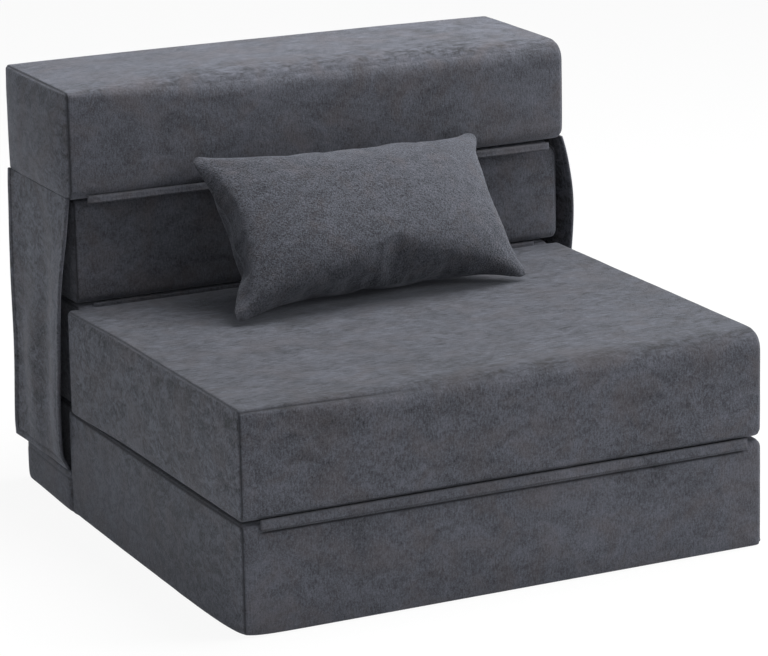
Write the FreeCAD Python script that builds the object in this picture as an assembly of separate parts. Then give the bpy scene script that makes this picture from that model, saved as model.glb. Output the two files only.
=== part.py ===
import FreeCAD, Part

import math
import os
from collections import namedtuple

# A chair of stacked foam blocks that unfolds into a single bed. Lengths are in millimetres.
# X runs across the chair, the front faces -Y, and the chair stands on Z = 0.

Vector = FreeCAD.Vector

os.makedirs("parts", exist_ok=True)

# Blocks
stack_width = 760.0
stack_depth = 780.0
block_height = 149.7
layer_gap = 0.4
hinge_gap = 6.0
upper_depth = 236.0
back_recess = 23.0
base_depth = 590.0
base_seam_gap = 2.0
rear_inset = 12.0
seat_back_gap = 2.5

# Soft shape of a block
bow = 4.0
crest = 1.5
edge_round = 12.0
front_roll = 28.0
under_roll = 18.0
side_seam_round = 10.0
corner_round = 14.0

# Cloth, foam and clearances
cover_thickness = 2.0
soft_clearance = 0.3
sole_thickness = 1.0
sole_margin = 24.0

# Hinge strips, which lie in the grooves between two blocks
strip_thickness = 1.6
strip_depth = 1.2
strip_reach = 24.0
strip_free_edge = 4.0
strip_end_margin = 26.0
front_strip_drop = 0.4

# Zips, sunk in a channel along the middle of each rear face
zip_length = 520.0
zip_channel_height = 15.0
zip_channel_depth = 5.0
zip_tape_thickness = 0.8
zip_chain_height = 5.0
zip_chain_thickness = 1.4
slider_length = 11.0
slider_height = 9.0
slider_wall = 0.9
slider_clearance = 0.2

# Pocket round the foot of the rear base block
pocket_height = 60.0
pocket_rear_wall = 2.5
pocket_edge_round = 4.0
pocket_bow = 2.0

# Side flaps
flap_thickness = 3.0
flap_top_front_inset = 10.0
flap_bottom_front_inset = 85.0
flap_tail = 19.0
flap_belly = 9.0
flap_fold = 2.6
fold_count = 4
flap_set_in = 0.5
hem_width = 11.0
hem_thickness = 1.2
tape_height = 22.0
tape_thickness = 1.5
tape_end_margin = 34.0

# Loose pillow, leaning on the back
pillow_width = 440.0
pillow_height = 262.0
pillow_depth = 118.0
pillow_edge = 14.0
pillow_ear = 9.0
pillow_lean = 42.0
pillow_cover_thickness = 1.6
settling_steps = 4

# Places that follow from the sizes
half_width = stack_width / 2
rear_half_width = half_width - rear_inset
y_front = -(stack_depth + flap_tail) / 2
y_rear = y_front + stack_depth
y_upper_front = y_rear - upper_depth
y_lower_front = y_upper_front + back_recess
y_base_rear = y_front + base_depth
block_pitch = block_height + layer_gap

Block = namedtuple("Block", "half_width front rear bottom top roll_over roll_under rests")


def level(number):
    """Height of the underside of a layer of blocks."""
    return number * block_pitch


blocks = {
    "base": Block(half_width, y_front, y_base_rear, sole_thickness, block_height,
                  edge_round, edge_round, True),
    "rear_base": Block(rear_half_width, y_base_rear + base_seam_gap, y_rear, sole_thickness,
                       block_height, edge_round, edge_round, True),
    "seat": Block(half_width, y_front, y_lower_front - seat_back_gap, level(1),
                  level(1) + block_height, front_roll, edge_round, False),
    "middle": Block(rear_half_width, y_lower_front, y_rear, level(1),
                    level(1) + block_height, edge_round, edge_round, False),
    "lower_back": Block(rear_half_width, y_lower_front, y_rear, level(2),
                        level(2) + block_height, edge_round, edge_round, False),
    "upper_back": Block(half_width, y_upper_front, y_rear, level(3),
                        level(3) + block_height, front_roll, under_roll, False),
}


def save(name, *solids):
    """Write the solids of one piece."""
    shape = solids[0] if len(solids) == 1 else Part.makeCompound(list(solids))
    shape.exportStep("parts/" + name + ".step")


def box(x0, x1, y0, y1, z0, z1):
    """Box between two corners."""
    return Part.makeBox(x1 - x0, y1 - y0, z1 - z0, Vector(x0, y0, z0))


def edge(points):
    """Line through two points or arc through three."""
    if len(points) == 2:
        return Part.makeLine(*points)
    return Part.Arc(*points).toShape()


def bowed_outline(a0, a1, b0, b1, radii, bows, place):
    """Rectangle with bowed sides and round corners, in the plane that place() puts it in.

    radii run from the low corner, along a first; bows are for the low b, high a, high b and
    low a sides. A bow starts that far inside the rectangle and crests just outside it, where
    the flat face of another outline cuts it off."""
    low_b, high_a, high_b, low_a = bows
    tangent = {"a0": a0 + low_a, "a1": a1 - high_a, "b0": b0 + low_b, "b1": b1 - high_b}
    corners = [("a0", "b0", -1, -1), ("a1", "b0", 1, -1), ("a1", "b1", 1, 1), ("a0", "b1", -1, 1)]
    arcs = []
    for (a_key, b_key, a_sign, b_sign), radius in zip(corners, radii):
        centre_a = tangent[a_key] - a_sign * radius
        centre_b = tangent[b_key] - b_sign * radius
        along_a = (tangent[a_key], centre_b)
        along_b = (centre_a, tangent[b_key])
        diagonal = radius * math.sqrt(0.5)
        middle = (centre_a + a_sign * diagonal, centre_b + b_sign * diagonal)
        ends = (along_a, along_b) if a_sign == b_sign else (along_b, along_a)
        arcs.append((ends[0], middle, ends[1]))
    middle_a, middle_b = (a0 + a1) / 2, (b0 + b1) / 2
    peaks = [(middle_a, b0 - crest), (a1 + crest, middle_b), (middle_a, b1 + crest),
             (a0 - crest, middle_b)]
    edges = []
    for index, arc in enumerate(arcs):
        following = arcs[(index + 1) % 4]
        edges.append(edge([place(*point) for point in arc]))
        side = [arc[2], following[0]]
        if bows[index] > 0:
            side.insert(1, peaks[index])
        edges.append(edge([place(*point) for point in side]))
    return Part.Wire(edges)


def prism(outline, along):
    """Solid swept from a flat outline."""
    return Part.Face(outline).extrude(along)


def soft_form(block, grow=0.0):
    """Foam block with bowed faces, rolled ends and tighter side seams, grown all round.

    It is shaped about its own middle and then put in its place."""
    x = block.half_width + grow
    y = (block.rear - block.front) / 2 + grow
    z = (block.top - block.bottom) / 2 + grow
    under = 0.0 if block.rests else bow
    ends = edge_round + grow
    under_front, over_front = block.roll_under + grow, block.roll_over + grow
    seam, corner = side_seam_round + grow, corner_round + grow
    side_view = bowed_outline(-y, y, -z, z, (under_front, ends, ends, over_front),
                              (0, bow, 0, bow), lambda a, b: Vector(-x - crest, a, b))
    front_view = bowed_outline(-x, x, -z, z, (seam, seam, seam, seam),
                               (under, bow, bow, bow), lambda a, b: Vector(a, -y - crest, b))
    plan_view = bowed_outline(-x, x, -y, y, (corner, corner, corner, corner),
                              (0, 0, 0, 0), lambda a, b: Vector(a, b, -z - crest))
    form = prism(side_view, Vector(2 * (x + crest), 0, 0))
    form = form.common(prism(front_view, Vector(0, 2 * (y + crest), 0)))
    form = form.common(prism(plan_view, Vector(0, 0, 2 * (z + crest))))
    form.translate(Vector(0, (block.front + block.rear) / 2, (block.bottom + block.top) / 2))
    return form


def zip_box(block, reach, extra):
    """Box round a block's zip channel, from the rear face inwards."""
    middle = (block.bottom + block.top) / 2
    half = zip_channel_height / 2 + extra
    length = zip_length / 2 + extra
    return box(-length, length, block.rear - reach, block.rear + 2 * bow, middle - half, middle + half)


def make_block(name, block):
    """Cover, foam core, zip and zip slider of one block."""
    channel = zip_box(block, zip_channel_depth, 0)
    lining = zip_box(block, zip_channel_depth + cover_thickness, cover_thickness)
    hollow = soft_form(block, -cover_thickness).cut(lining)
    save(name + "_cover", soft_form(block).cut(channel).cut(hollow))
    spacing = cover_thickness + soft_clearance
    around = zip_box(block, zip_channel_depth + spacing, spacing)
    save(name + "_foam", soft_form(block, -spacing).cut(around))
    make_zip(name, block)


def make_zip(name, block):
    """Zip on the floor of the channel, closed, with its slider at the +X end."""
    middle = (block.bottom + block.top) / 2
    floor = block.rear - zip_channel_depth
    half_tape = zip_channel_height / 2
    tape = box(-zip_length / 2, zip_length / 2, floor, floor + zip_tape_thickness,
               middle - half_tape, middle + half_tape)
    chain_floor = floor + zip_tape_thickness
    half_chain = zip_chain_height / 2
    chain = box(-zip_length / 2, zip_length / 2, chain_floor, chain_floor + zip_chain_thickness,
                middle - half_chain, middle + half_chain)
    save(name + "_zip", tape.fuse(chain).removeSplitter())
    slider_end = zip_length / 2 - slider_length / 2
    slot_half = half_chain + slider_clearance
    slot_top = chain_floor + zip_chain_thickness + slider_clearance
    body = box(slider_end - slider_length, slider_end, chain_floor + slider_clearance,
               slot_top + slider_wall, middle - slider_height / 2, middle + slider_height / 2)
    slot = box(slider_end - 2 * slider_length, slider_end + slider_length, chain_floor, slot_top,
               middle - slot_half, middle + slot_half)
    save(name + "_zip_slider", body.cut(slot))


def groove_strip(name, owner, other, at_rear, half_length, above):
    """Cloth strip in the groove between two blocks, sewn to its owner.

    above tells whether the owner is the upper of the two blocks."""
    outward = 1 if at_rear else -1
    face = owner.rear if at_rear else owner.front
    outer = face - outward * (bow + strip_depth)
    inner = outer - outward * strip_thickness
    low, high = sorted((outer, inner))
    joint = owner.bottom - layer_gap / 2 if above else owner.top + layer_gap / 2
    free_edge = front_strip_drop if above else strip_free_edge
    bottom = joint - (free_edge if above else strip_reach)
    top = joint + (strip_reach if above else free_edge)
    strip = box(-half_length, half_length, low, high, bottom, top)
    strip = strip.cut(soft_form(owner, soft_clearance))
    if other is not None:
        strip = strip.cut(soft_form(other, soft_clearance))
    save(name, *[solid for solid in strip.Solids if solid.BoundBox.XLength > half_length])


def make_strips():
    """Hinge strips between the blocks, and the cover strip under the upper back's front."""
    wide = half_width - strip_end_margin
    narrow = rear_half_width - strip_end_margin
    groove_strip("front_hinge_strip", blocks["base"], blocks["seat"], False, wide, False)
    groove_strip("rear_hinge_strip", blocks["rear_base"], blocks["middle"], True, narrow, False)
    groove_strip("middle_hinge_strip", blocks["middle"], blocks["lower_back"], False, narrow, False)
    groove_strip("top_hinge_strip", blocks["lower_back"], blocks["upper_back"], True, narrow, False)
    groove_strip("front_cover_strip", blocks["upper_back"], None, False, wide, True)


def make_pocket():
    """Low padded band that holds the foot of the rear base block."""
    front = y_base_rear - corner_round
    rear = y_rear + pocket_rear_wall
    corner = corner_round + pocket_rear_wall
    side_radius = pocket_edge_round
    front_view = bowed_outline(-half_width, half_width, sole_thickness, pocket_height,
                               (side_seam_round, side_seam_round, side_radius, side_radius),
                               (0, pocket_bow, 0, pocket_bow), lambda a, b: Vector(a, front, b))
    plan_view = bowed_outline(-half_width, half_width, front, rear, (1.0, corner, corner, 1.0),
                              (0, 0, 0, 0), lambda a, b: Vector(a, b, sole_thickness))
    band = prism(front_view, Vector(0, rear - front, 0))
    band = band.common(prism(plan_view, Vector(0, 0, pocket_height)))
    band = band.cut(soft_form(blocks["base"], soft_clearance))
    rear_base = blocks["rear_base"]
    held = soft_form(rear_base, soft_clearance)
    band = band.cut(held)
    reach = rear_base.half_width - edge_round
    clear = box(-reach, reach, front - 1, rear_base.rear - edge_round, 0, pocket_height + 1)
    under = box(-rear_base.half_width + bow, rear_base.half_width - bow, front - 1,
                rear_base.rear - bow, 0, edge_round)
    band = band.cut(clear).cut(under)
    largest = max(band.Solids, key=lambda solid: solid.Volume)
    save("rear_pocket", largest)


def make_sole():
    """Non-slip sheet that the chair stands on."""
    save("grip_sheet", box(-half_width + sole_margin, half_width - sole_margin,
                           y_front + sole_margin, y_rear - sole_margin, 0, sole_thickness))


flap_bottom = pocket_height + soft_clearance
flap_top = level(3) - layer_gap - soft_clearance
flap_outer = half_width - flap_set_in


def flap_station(share):
    """Front, rear, outward shift and fold size of a flap, at a share of its height."""
    narrowing = flap_bottom_front_inset + (flap_top_front_inset - flap_bottom_front_inset) * share
    belly = 4 * share * (1 - share)
    rear = y_rear + flap_tail * (1 - share) ** 2 - flap_top_front_inset * share ** 2
    return y_upper_front + narrowing, rear, flap_belly * belly, flap_fold * belly + 0.3


def flap_section(share):
    """Closed outline across a flap: a flat hem at each end and folds between them."""
    front, rear, shift, fold = flap_station(share)
    z = flap_bottom + (flap_top - flap_bottom) * share
    outer_x, inner_x = flap_outer + shift, flap_outer + shift - flap_thickness
    first, last = front + hem_width, rear - hem_width
    pitch = (last - first) / fold_count

    def folded(x, forward):
        edges = []
        order = range(fold_count) if forward else reversed(range(fold_count))
        for index in order:
            y0, y1 = first + index * pitch, first + (index + 1) * pitch
            if not forward:
                y0, y1 = y1, y0
            swing = fold if index % 2 == 0 else -fold
            edges.append(edge([Vector(x, y0, z), Vector(x + swing, (y0 + y1) / 2, z),
                               Vector(x, y1, z)]))
        return edges

    edges = [edge([Vector(outer_x, front, z), Vector(outer_x, first, z)])]
    edges += folded(outer_x, True)
    edges.append(edge([Vector(outer_x, last, z), Vector(outer_x, rear, z)]))
    edges.append(edge([Vector(outer_x, rear, z), Vector(inner_x, rear, z)]))
    edges.append(edge([Vector(inner_x, rear, z), Vector(inner_x, last, z)]))
    edges += folded(inner_x, False)
    edges.append(edge([Vector(inner_x, first, z), Vector(inner_x, front, z)]))
    edges.append(edge([Vector(inner_x, front, z), Vector(outer_x, front, z)]))
    return Part.Wire(edges)


def hem_section(share, at_front):
    """Outline across a hem, on the outer side of a flap."""
    front, rear, shift, _ = flap_station(share)
    z = flap_bottom + (flap_top - flap_bottom) * share
    inner_x = flap_outer + shift + soft_clearance
    outer_x = inner_x + hem_thickness
    y0, y1 = (front, front + hem_width) if at_front else (rear - hem_width, rear)
    corners = [Vector(inner_x, y0, z), Vector(outer_x, y0, z), Vector(outer_x, y1, z),
               Vector(inner_x, y1, z)]
    return Part.makePolygon(corners + corners[:1])


def both_sides(name, solids):
    """Save the right-hand piece and its mirror image on the left."""
    save(name + "_right", *solids)
    save(name + "_left", *[solid.mirror(Vector(), Vector(1, 0, 0)) for solid in solids])


def make_flaps():
    """Cloth side flaps, their hems, and the hook and loop tapes along their tops."""
    shares = [index / 4 for index in range(5)]
    flap = Part.makeLoft([flap_section(share) for share in shares], True, False)
    both_sides("side_flap", [flap])
    hems = [Part.makeLoft([hem_section(share, at_front) for share in shares], True, False)
            for at_front in (True, False)]
    both_sides("flap_hem", hems)
    front = y_upper_front + tape_end_margin
    rear = y_rear - tape_end_margin
    hook_x = flap_outer - flap_thickness - flap_fold / 4 - soft_clearance
    hook = box(hook_x - tape_thickness, hook_x, front, rear, flap_top - tape_height, flap_top)
    both_sides("hook_tape", [hook])
    loop_x = hook_x - tape_thickness - soft_clearance
    top = level(3) + edge_round
    loop = box(loop_x - tape_thickness, loop_x, front, rear, flap_top - tape_height, top)
    loop = loop.cut(soft_form(blocks["upper_back"], soft_clearance))
    both_sides("loop_tape", [min(loop.Solids, key=lambda solid: solid.CenterOfMass.z)])


def pillow_section(across, half_height, half_depth, edge_depth):
    """Lens-shaped outline across the pillow, with a blunt seam at top and bottom."""
    up, out = half_height, half_depth
    lip = edge_depth / 2
    points = [(-up, -lip), (0, -out), (up, -lip), (up, lip), (0, out), (-up, lip)]
    at = [Vector(across, depth, height) for height, depth in points]
    return Part.Wire([edge(at[0:3]), edge(at[2:4]), edge(at[3:6]), edge([at[5], at[0]])])


def pillow_form(inset):
    """Crowned pillow that stands upright, with drawn-in sides and pointed corners."""
    half_width_in = pillow_width / 2 - inset
    half_height_in = pillow_height / 2 - inset
    half_depth_in = pillow_depth / 2 - inset
    edge_in = pillow_edge - inset
    sections = []
    for share in (-1.0, -0.72, -0.36, 0.0, 0.36, 0.72, 1.0):
        fullness = math.sqrt(max(0.0, 1 - share ** 2))
        depth = edge_in / 2 + 0.6 + (half_depth_in - edge_in / 2) * fullness
        height = half_height_in - pillow_ear * (1 - share ** 2)
        sections.append(pillow_section(share * half_width_in, height, depth, edge_in))
    form = Part.makeLoft(sections, True, False)
    chord = 2 * half_height_in
    radius = (chord ** 2 / 4 + pillow_ear ** 2) / (2 * pillow_ear)
    for side in (-1, 1):
        centre = side * (half_width_in - pillow_ear + radius)
        scoop = Part.makeCylinder(radius, 2 * pillow_depth, Vector(centre, -pillow_depth, 0),
                                  Vector(0, 1, 0))
        form = form.cut(scoop)
    return form


def settled(pieces, support, direction):
    """Move pieces until the first is a soft clearance from its support."""
    for _ in range(settling_steps):
        gap = pieces[0].distToShape(support)[0] - soft_clearance
        for piece in pieces:
            piece.translate(direction * gap)


def make_pillow():
    """Pillow cover and filling, leaned back, resting on the seat and against the upper back."""
    outer = pillow_form(0)
    hollow = pillow_form(pillow_cover_thickness)
    filling = pillow_form(pillow_cover_thickness + soft_clearance)
    pieces = [outer, hollow, filling]
    start = Vector(0, y_upper_front - pillow_height, level(2) + pillow_height)
    for piece in pieces:
        piece.rotate(Vector(), Vector(1, 0, 0), -pillow_lean)
        piece.translate(start)
    seat = soft_form(blocks["seat"])
    upper_back = soft_form(blocks["upper_back"])
    for _ in range(2):
        settled(pieces, seat, Vector(0, 0, -1))
        settled(pieces, upper_back, Vector(0, 1, 0))
    settled(pieces, seat, Vector(0, 0, -1))
    save("pillow_cover", outer.cut(hollow))
    save("pillow_filling", filling)


for block_name, block_size in blocks.items():
    make_block(block_name, block_size)
make_strips()
make_pocket()
make_sole()
make_flaps()
make_pillow()
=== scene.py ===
"""Looks of a chair bed: covers, strips, flaps, pillow and zips, built round its CAD frame."""

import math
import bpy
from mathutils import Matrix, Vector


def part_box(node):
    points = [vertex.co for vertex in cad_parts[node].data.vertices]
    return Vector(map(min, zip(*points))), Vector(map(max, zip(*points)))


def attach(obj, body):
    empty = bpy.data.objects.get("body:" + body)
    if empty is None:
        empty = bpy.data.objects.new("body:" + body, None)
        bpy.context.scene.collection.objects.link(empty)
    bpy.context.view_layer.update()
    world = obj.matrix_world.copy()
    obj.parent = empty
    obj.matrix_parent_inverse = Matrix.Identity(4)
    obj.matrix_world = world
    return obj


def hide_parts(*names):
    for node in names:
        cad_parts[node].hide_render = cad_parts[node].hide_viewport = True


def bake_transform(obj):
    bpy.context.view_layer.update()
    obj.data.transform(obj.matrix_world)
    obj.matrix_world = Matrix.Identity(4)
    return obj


bl_info = {
    "name": "Folding chair bed",
    "version": (1, 0, 0),
    "blender": (4, 5, 0),
    "location": "3D Viewport > Sidebar > Chair Bed",
    "description": "Builds the covers, flaps, pillow, strips and zips of a folding chair bed",
    "category": "Add Mesh",
}

from collections import namedtuple

import bmesh
import bpy
import numpy as np
from mathutils import Matrix, Vector, noise

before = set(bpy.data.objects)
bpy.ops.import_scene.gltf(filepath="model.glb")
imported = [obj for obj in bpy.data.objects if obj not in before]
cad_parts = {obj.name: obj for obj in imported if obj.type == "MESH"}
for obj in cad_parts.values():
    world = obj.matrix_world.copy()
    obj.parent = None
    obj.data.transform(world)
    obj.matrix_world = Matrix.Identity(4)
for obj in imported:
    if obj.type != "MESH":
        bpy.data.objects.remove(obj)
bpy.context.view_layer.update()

photo_width = 768
mm = 0.001
diagonal = math.pi / 4


# Sizes that come from the frame

Block = namedtuple("Block", "name half front rear bottom top roll_over roll_under rests")
Fullness = namedtuple("Fullness", "left right rise spread crease front_right rear_left slope")
edge_round = 12 * mm
rear_round = 6 * mm
front_roll = 28 * mm
left_roll = 9 * mm
under_roll = 18 * mm
foot_round = 4 * mm
worn_corner = 5 * mm

# How far each cover swells, spreads, creases, stands out at an edge and rises to the left, in mm
fullness = {name: Fullness(*(value * mm for value in values)) for name, values in {
    "base": (3, 5, 1.5, 9, 0, 0, 0, 0),
    "rear_base": (2, 2, 1.5, 0, 0, 0, 0, 0),
    "seat": (6, 2.5, 1.5, 0, 1.5, 0, 6, 0),
    "middle": (3, 3, 1.5, 0, 0, 4, 0, 0),
    "lower_back": (2, 3, 1.5, 0, 0, 13, 0, 0),
    "upper_back": (9, 5, 9, 0, 0, 0, 0, 3.5),
}.items()}
block_names = tuple(fullness)


def block_of(name):
    """Sizes of one block, from its CAD cover."""
    low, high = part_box(name + "_cover")
    rolled = name in ("seat", "upper_back")
    over = front_roll if rolled else edge_round
    rests = name in ("base", "rear_base")
    under = under_roll if name == "upper_back" else foot_round if rests else edge_round
    return Block(name, high.x, low.y, high.y, low.z, high.z, over, under, rests)


def body_with(name):
    """The body that carries a block."""
    return "base" if name == "rear_base" else name


# Properties

def length_property(label, text, default, low, high):
    """A size, given in millimetres."""
    return bpy.props.FloatProperty(name=label, description=text, default=default * mm,
                                   min=low * mm, max=high * mm, unit="LENGTH")


def colour_property(label, text, default):
    """The colour of a finish."""
    return bpy.props.FloatVectorProperty(name=label, description=text, default=default,
                                         subtype="COLOR", min=0, max=1)


class ChairBedSizes(bpy.types.PropertyGroup):
    """Sizes of the soft shapes."""

    edge_inset: length_property(
        "Edge Inset", "How far the edges of a cover lie inside its foam block", 1.2, 0, 6)
    panel_round: length_property(
        "Panel Rounding", "Radius where a cover turns into its side panel", 4, 3, 9)
    right_round: length_property(
        "Right Rounding", "The same radius on the right-hand side, which is softer", 9, 3, 12)
    seam_depth: length_property(
        "Seam Depth", "How deep a side panel's seam is drawn in", 1.4, 0, 3)
    wrinkle: length_property(
        "Wrinkles", "Depth of the soft waves in the covers", 1.3, 0, 3)
    flap_thickness: length_property(
        "Flap Thickness", "Thickness of the side flaps' cloth", 2.2, 1, 4)
    pillow_thickness: length_property(
        "Pillow Thickness", "Thickness in the middle of the pillow", 118, 60, 140)


class ChairBedColours(bpy.types.PropertyGroup):
    """Colours of the finishes."""

    cloth: colour_property(
        "Brushed Cloth", "Middle colour of the brushed cloth", (0.0540, 0.0565, 0.0680))
    cloth_warm: colour_property(
        "Warm Patches", "Colour of the pile where it lies the other way", (0.0600, 0.0530, 0.0560))
    pillow: colour_property(
        "Pillow Cloth", "Middle colour of the pillow's cloth", (0.0525, 0.0550, 0.0660))
    tape: colour_property(
        "Zip Tape", "Colour of the zip tapes and their coils", (0.028, 0.029, 0.034))
    metal: colour_property(
        "Zip Metal", "Colour of the zip sliders", (0.30, 0.30, 0.32))
    sole: colour_property(
        "Sole", "Colour of the non-slip sheet underneath", (0.045, 0.045, 0.048))


# Materials

class Value:
    """A socket that can be used in sums, which become Math nodes."""

    def __init__(self, shader, socket):
        self.shader = shader
        self.socket = socket

    def maths(self, operation, *values):
        return self.shader.node("ShaderNodeMath", {"operation": operation}, {
            index: value for index, value in enumerate(values)}).value()

    def __add__(self, other):
        return self.maths("ADD", self, other)

    __radd__ = __add__

    def __sub__(self, other):
        return self.maths("SUBTRACT", self, other)

    def __rsub__(self, other):
        return self.maths("SUBTRACT", other, self)

    def __mul__(self, other):
        return self.maths("MULTIPLY", self, other)

    __rmul__ = __mul__


class Node:
    """A shader node that was just added."""

    def __init__(self, shader, made):
        self.shader = shader
        self.made = made

    def value(self, output=0):
        return Value(self.shader, self.made.outputs[output])


class Shader:
    """A material, or the world, under construction."""

    def __init__(self, name, library="materials"):
        self.owner = getattr(bpy.data, library).new(name)
        self.owner.use_nodes = True
        self.tree = self.owner.node_tree
        self.tree.nodes.clear()

    def node(self, kind, settings=None, inputs=None):
        """Add a node, set it up, then give its sockets their values or links."""
        made = self.tree.nodes.new(kind)
        for key, setting in (settings or {}).items():
            if key == "stops":
                for index, (place, colour) in enumerate(setting):
                    ramp = made.color_ramp.elements
                    stop = ramp[index] if index < len(ramp) else ramp.new(place)
                    stop.position = place
                    stop.color = colour
            else:
                setattr(made, key, setting)
        for key, value in (inputs or {}).items():
            socket = made.inputs[key]
            if isinstance(value, Node):
                value = value.value()
            if isinstance(value, Value):
                self.tree.links.new(value.socket, socket)
            else:
                socket.default_value = value
        return Node(self, made)

    def mix(self, factor, first, second, blend_type="MIX"):
        """Mix two colours."""
        made = self.node("ShaderNodeMix", {"data_type": "RGBA", "blend_type": blend_type},
                         {0: factor, 6: rgba(first), 7: rgba(second)})
        return made.value(2)

    def place(self, source, scale):
        """Coordinates of a surface, scaled along each axis."""
        if source == "cloth":
            start = self.node("ShaderNodeUVMap", {"uv_map": "cloth"}).value()
        else:
            start = self.node("ShaderNodeTexCoord").value("Object")
        return self.node("ShaderNodeMapping", {}, {"Vector": start, "Scale": scale}).value()

    def noise(self, source, scale, detail=2.0, roughness=0.5, distortion=0.0):
        """Noise, finer along an axis with a larger scale."""
        made = self.node("ShaderNodeTexNoise", {}, {
            "Vector": self.place(source, scale), "Scale": 1.0, "Detail": detail,
            "Roughness": roughness, "Distortion": distortion})
        return made.value()

    def spread(self, value, low, high):
        """Stretch a value so that low becomes 0 and high becomes 1."""
        return self.node("ShaderNodeMapRange", {"clamp": True}, {
            "Value": value, "From Min": low, "From Max": high}).value()

    def cells(self, scale, randomness=1.0):
        """Distance to the middle of the nearest cell."""
        return self.node("ShaderNodeTexVoronoi", {"feature": "F1"}, {
            "Vector": self.place("object", scale), "Scale": 1.0,
            "Randomness": randomness}).value("Distance")

    def seam(self):
        """How deep in a seam, crease or groove the surface lies: the mask of the painted shade."""
        return self.node("ShaderNodeAttribute", {"attribute_name": "seam"}).value("Fac")

    def finish(self, surface):
        """End the material with its surface."""
        self.node("ShaderNodeOutputMaterial", {}, {"Surface": surface})
        return self.owner

    def relief(self, colour, roughness, height, depth, strength=1.0, others=None):
        """End the material with a surface that has a fine relief."""
        normal = self.node("ShaderNodeBump", {}, {
            "Height": height, "Distance": depth, "Strength": strength})
        return self.finish(self.node("ShaderNodeBsdfPrincipled", {}, {
            "Base Color": colour, "Roughness": roughness, "Normal": normal, **(others or {})}))


def rgba(colour):
    """A colour with full alpha; links stay as they are."""
    if isinstance(colour, (Value, Node)):
        return colour
    return (*colour[:3], 1.0)


def tinted(colour, share):
    """A colour made lighter or darker."""
    return tuple(min(1.0, part * share) for part in colour)


pile = {"Specular IOR Level": 0.2, "Sheen Weight": 0.28, "Sheen Roughness": 0.42,
        "Sheen Tint": (0.66, 0.70, 0.80, 1.0)}


def brushed_cloth(name, colour, warm, streaks, contrast=1.0, nap=1.0):
    """Short velvety pile: soft streaks along the cloth where it faces up, upright fuzz on its sides,
    painted shade in its seams, and painted shade on its top by the nap.
    """
    s = Shader(name)
    along, across = streaks
    facing = s.node("ShaderNodeSeparateXYZ", {}, {
        "Vector": s.node("ShaderNodeTexCoord").value("Normal")})
    upward = s.spread(facing.value("Z"), 0.45, 0.85)
    sideways = s.spread(facing.value("X") * facing.value("X"), 0.3, 0.7)
    cloud = s.spread(s.noise("object", (7, 7, 7), 3, 0.6), 0.3, 0.7)
    patch = s.spread(s.noise("cloth", (along * 0.4, across * 0.2, 1), 4, 0.62, 0.8), 0.36, 0.64)
    streak = s.spread(s.noise("cloth", (along, across, 1), 4, 0.66, 0.5), 0.36, 0.64)
    mottle = s.spread(s.noise("object", (115, 115, 115), 5, 0.75, 0.6), 0.36, 0.64)
    upright = s.spread(s.noise("cloth", (430, 110, 1), 3, 0.7), 0.34, 0.66)
    speck = s.spread(s.noise("object", (270, 270, 270), 3, 0.75), 0.36, 0.64)
    fuzz = s.spread(s.noise("object", (460, 460, 460), 3, 0.75), 0.36, 0.64)
    blotch = s.spread(s.noise("object", (52, 38, 60), 5, 0.72, 1.2), 0.38, 0.62)
    lying = patch * 0.26 + streak * 0.42 + mottle * 0.14 + speck * 0.18
    front = 0.5 + (patch * 0.22 + mottle * 0.14 + upright * 0.30 + fuzz * 0.34 - 0.5) * 0.72
    panel = blotch * 0.48 + mottle * 0.16 + speck * 0.36
    standing = panel * sideways + front * (1 - sideways)
    tone = lying * upward + standing * (1 - upward) + (cloud - 0.5) * 0.14
    dark = tinted(colour, 1 - 0.82 * contrast)
    light = tinted(colour, 1 + 0.88 * contrast)
    shade = s.mix(s.spread(tone, 0.17, 0.83), dark, light)
    turned = s.spread(s.noise("object", (17, 17, 17), 4, 0.58, 0.8), 0.46, 0.66)
    shade = s.mix(turned * 0.5, shade, s.mix(tone, tinted(warm, 0.55), tinted(warm, 1.55)))
    # Painted shade: the colour darkens in seams, creases and grooves, by the seam mask
    shade = s.mix(s.seam() * 0.9, shade, tinted(colour, 0.16))
    # Painted shade: where nap is below 1, the colour of the faces that look up is darkened, as the pile
    # there lies away from the light
    shade = s.mix(upward * (1 - nap), shade, tinted(colour, 0.15))
    grain = s.noise("object", (1300, 1300, 1300), 2, 0.5)
    height = speck * 0.46 + grain * 0.32 + upright * 0.22
    return s.relief(shade, s.spread(tone, -2.2, 1.1), height, 0.6 * mm, 0.8, pile)


def woven_pillow(name, colour, warm):
    """The pillow's cloth, with a small broken weave under its pile."""
    s = Shader(name)
    warp = s.noise("cloth", (900, 260, 1), 2, 0.5)
    weft = s.noise("cloth", (260, 900, 1), 2, 0.5)
    weave = s.spread(warp * weft, 0.17, 0.34)
    patch = s.spread(s.noise("cloth", (45, 60, 1), 4, 0.6, 0.5), 0.34, 0.66)
    speck = s.spread(s.noise("object", (270, 270, 270), 3, 0.75), 0.36, 0.64)
    tone = weave * 0.42 + patch * 0.24 + speck * 0.34
    shade = s.mix(s.spread(tone, 0.17, 0.83), tinted(colour, 0.38), tinted(colour, 1.66))
    turned = s.spread(s.noise("object", (30, 30, 30), 3, 0.6, 0.8), 0.5, 0.7)
    shade = s.mix(turned * 0.5, shade, s.mix(tone, tinted(warm, 0.5), tinted(warm, 1.5)))
    # Painted shade: the colour darkens along the rim seam
    shade = s.mix(s.seam() * 0.5, shade, tinted(colour, 0.35))
    return s.relief(shade, 0.9, weave * 0.55 + speck * 0.45, 1.0 * mm, 0.9, pile)


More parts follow.
